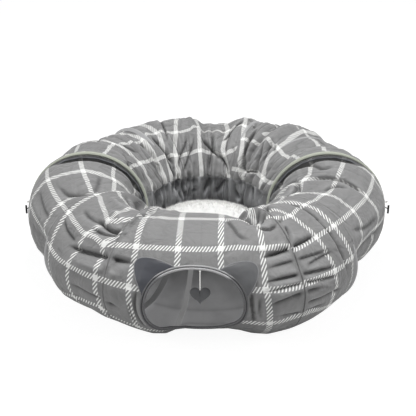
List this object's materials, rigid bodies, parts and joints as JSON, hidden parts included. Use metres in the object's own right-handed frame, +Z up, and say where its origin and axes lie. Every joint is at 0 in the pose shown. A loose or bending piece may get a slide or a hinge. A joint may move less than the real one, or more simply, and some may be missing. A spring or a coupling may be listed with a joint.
{
  "type": "cat tunnel",
  "caption": "Soft ring-shaped cat tunnel: plaid cloth over wire hoops, two zipped halves, an eared window with a hanging heart, and a plush mat in the middle.",
  "frame": {"origin": "centre of the ring, on the floor", "axes": "+Z up, the window faces -Y, the zips are at -X and +X"},
  "size_m": [0.934, 0.9013, 0.2955],
  "materials": {
    "plaid": "satin",
    "base": "matte",
    "wire": "satin",
    "tape": "matte",
    "white_tape": "matte",
    "metal": "satin",
    "piping": "matte",
    "ear": "satin",
    "toggle": "matte",
    "heart": "matte",
    "plush": "matte"
  },
  "bodies": {
    "left_gate": {"hoop_front_left": "wire", "hoop_rear_left": "wire", "zip_tape_front_left": "tape", "zip_tape_rear_left": "tape", "zip_tail_left": "white_tape", "tie_loop_left": "white_tape", "cover_front_1": "plaid", "base_front_1": "base", "cover_rear_1": "plaid", "base_rear_1": "base"},
    "front_1": {"hoop_front_1": "wire", "cover_front_2": "plaid", "base_front_2": "base"},
    "front_2": {"hoop_front_2": "wire", "cover_front_3": "plaid", "base_front_3": "base", "ear_left": "ear"},
    "window": {"window_rim": "piping", "cover_front_4": "plaid", "base_front_4": "base", "ear_right": "ear", "toy_tab": "piping"},
    "front_4": {"hoop_front_3": "wire", "cover_front_5": "plaid", "base_front_5": "base"},
    "front_5": {"hoop_front_4": "wire", "cover_front_6": "plaid", "base_front_6": "base"},
    "right_gate_front": {"hoop_front_right": "wire", "zip_tape_front_right": "tape", "zip_tail_right": "white_tape"},
    "rear_1": {"hoop_rear_1": "wire", "cover_rear_2": "plaid", "base_rear_2": "base"},
    "rear_2": {"hoop_rear_2": "wire", "cover_rear_3": "plaid", "base_rear_3": "base"},
    "rear_3": {"hoop_rear_3": "wire", "cover_rear_4": "plaid", "base_rear_4": "base"},
    "rear_4": {"hoop_rear_4": "wire", "cover_rear_5": "plaid", "base_rear_5": "base"},
    "rear_5": {"hoop_rear_5": "wire", "cover_rear_6": "plaid", "base_rear_6": "base"},
    "right_gate_rear": {"hoop_rear_right": "wire", "zip_tape_rear_right": "tape", "tie_loop_right": "white_tape"},
    "slider_left": {"zip_slider_left": "metal"},
    "pull_left": {"zip_pull_left": "metal"},
    "slider_right": {"zip_slider_right": "metal"},
    "pull_right": {"zip_pull_right": "metal"},
    "toggle_left": {"tie_toggle_left": "toggle"},
    "toggle_right": {"tie_toggle_right": "toggle"},
    "toy_knot": {"toy_knot": "white_tape"},
    "toy": {"toy_string": "white_tape", "toy_heart": "heart"},
    "mat": {"mat_plush": "plush", "mat_base": "base"}
  },
  "joints": [
    {"name": "fold_front_1", "type": "hinge", "parent": "left_gate", "child": "front_1", "pos_m": [0, 0, 0.146], "axis": [0, 0, 1], "range_deg": [-25.28, 0], "deforming": ["cover_front_1", "base_front_1"]},
    {"name": "fold_front_2", "type": "hinge", "parent": "front_1", "child": "front_2", "pos_m": [0, 0, 0.146], "axis": [0, 0, 1], "range_deg": [-24.64, 0], "deforming": ["cover_front_2", "base_front_2"]},
    {"name": "fold_front_3", "type": "hinge", "parent": "front_2", "child": "window", "pos_m": [0, 0, 0.146], "axis": [0, 0, 1], "range_deg": [-22.12, 0], "deforming": ["cover_front_3", "base_front_3", "ear_left", "window_rim"]},
    {"name": "fold_front_4", "type": "hinge", "parent": "window", "child": "front_4", "pos_m": [0, 0, 0.146], "axis": [0, 0, 1], "range_deg": [-22.91, 0], "deforming": ["cover_front_4", "base_front_4", "ear_right"]},
    {"name": "fold_front_5", "type": "hinge", "parent": "front_4", "child": "front_5", "pos_m": [0, 0, 0.146], "axis": [0, 0, 1], "range_deg": [-20.24, 0], "deforming": ["cover_front_5", "base_front_5"]},
    {"name": "fold_front_6", "type": "hinge", "parent": "front_5", "child": "right_gate_front", "pos_m": [0, 0, 0.146], "axis": [0, 0, 1], "range_deg": [-33.2, 0], "deforming": ["cover_front_6", "base_front_6"]},
    {"name": "fold_rear_1", "type": "hinge", "parent": "left_gate", "child": "rear_1", "pos_m": [0, 0, 0.146], "axis": [0, 0, 1], "range_deg": [0, 17.28], "deforming": ["cover_rear_1", "base_rear_1"]},
    {"name": "fold_rear_2", "type": "hinge", "parent": "rear_1", "child": "rear_2", "pos_m": [0, 0, 0.146], "axis": [0, 0, 1], "range_deg": [0, 23.76], "deforming": ["cover_rear_2", "base_rear_2"]},
    {"name": "fold_rear_3", "type": "hinge", "parent": "rear_2", "child": "rear_3", "pos_m": [0, 0, 0.146], "axis": [0, 0, 1], "range_deg": [0, 27.28], "deforming": ["cover_rear_3", "base_rear_3"]},
    {"name": "fold_rear_4", "type": "hinge", "parent": "rear_3", "child": "rear_4", "pos_m": [0, 0, 0.146], "axis": [0, 0, 1], "range_deg": [0, 27.28], "deforming": ["cover_rear_4", "base_rear_4"]},
    {"name": "fold_rear_5", "type": "hinge", "parent": "rear_4", "child": "rear_5", "pos_m": [0, 0, 0.146], "axis": [0, 0, 1], "range_deg": [0, 27.28], "deforming": ["cover_rear_5", "base_rear_5"]},
    {"name": "fold_rear_6", "type": "hinge", "parent": "rear_5", "child": "right_gate_rear", "pos_m": [0, 0, 0.146], "axis": [0, 0, 1], "range_deg": [0, 29.34], "deforming": ["cover_rear_6", "base_rear_6"]},
    {"name": "zip_travel_left", "type": "hinge", "parent": "left_gate", "child": "slider_left", "pos_m": [-0.305, 0, 0.146], "axis": [0, -1, 0], "range_deg": [0, 330]},
    {"name": "zip_pull_left", "type": "hinge", "parent": "slider_left", "child": "pull_left", "pos_m": [-0.1549, 0, 0.146], "axis": [0, -1, 0], "range_deg": [0, 165]},
    {"name": "toggle_swing_left", "type": "hinge", "parent": "left_gate", "child": "toggle_left", "pos_m": [-0.4554, -0.0166, 0.1549], "axis": [0, 1, 0], "range_deg": [0, 35]},
    {"name": "zip_travel_right", "type": "hinge", "parent": "right_gate_front", "child": "slider_right", "pos_m": [0.305, 0, 0.146], "axis": [0, 1, 0], "range_deg": [0, 330]},
    {"name": "zip_pull_right", "type": "hinge", "parent": "slider_right", "child": "pull_right", "pos_m": [0.1549, 0, 0.146], "axis": [0, 1, 0], "range_deg": [0, 165]},
    {"name": "toggle_swing_right", "type": "hinge", "parent": "right_gate_front", "child": "toggle_right", "pos_m": [0.4554, -0.0166, 0.1549], "axis": [0, -1, 0], "range_deg": [0, 35]},
    {"name": "toy_swing", "type": "hinge", "parent": "window", "child": "toy_knot", "pos_m": [-0.0158, -0.42415, 0.19558], "axis": [1, 0, 0], "range_deg": [-25, 40]},
    {"name": "toy_sway", "type": "hinge", "parent": "toy_knot", "child": "toy", "pos_m": [-0.0158, -0.42415, 0.19558], "axis": [0, 1, 0], "range_deg": [-15, 15]},
    {"name": "mat_lift", "type": "slide", "parent": "left_gate", "child": "mat", "axis": [0, 0, 1], "range_m": [0, 0.35]}
  ],
  "couplings": [
    {"joint": "fold_front_2", "follows": "fold_front_1", "ratio": 0.97468},
    {"joint": "fold_front_3", "follows": "fold_front_1", "ratio": 0.875},
    {"joint": "fold_front_4", "follows": "fold_front_1", "ratio": 0.90625},
    {"joint": "fold_front_5", "follows": "fold_front_1", "ratio": 0.80063},
    {"joint": "fold_front_6", "follows": "fold_front_1", "ratio": 1.3133},
    {"joint": "fold_rear_1", "follows": "fold_front_1", "ratio": -0.68354},
    {"joint": "fold_rear_2", "follows": "fold_front_1", "ratio": -0.93987},
    {"joint": "fold_rear_3", "follows": "fold_front_1", "ratio": -1.0791},
    {"joint": "fold_rear_4", "follows": "fold_front_1", "ratio": -1.0791},
    {"joint": "fold_rear_5", "follows": "fold_front_1", "ratio": -1.0791},
    {"joint": "fold_rear_6", "follows": "fold_front_1", "ratio": -1.1606}
  ]
}
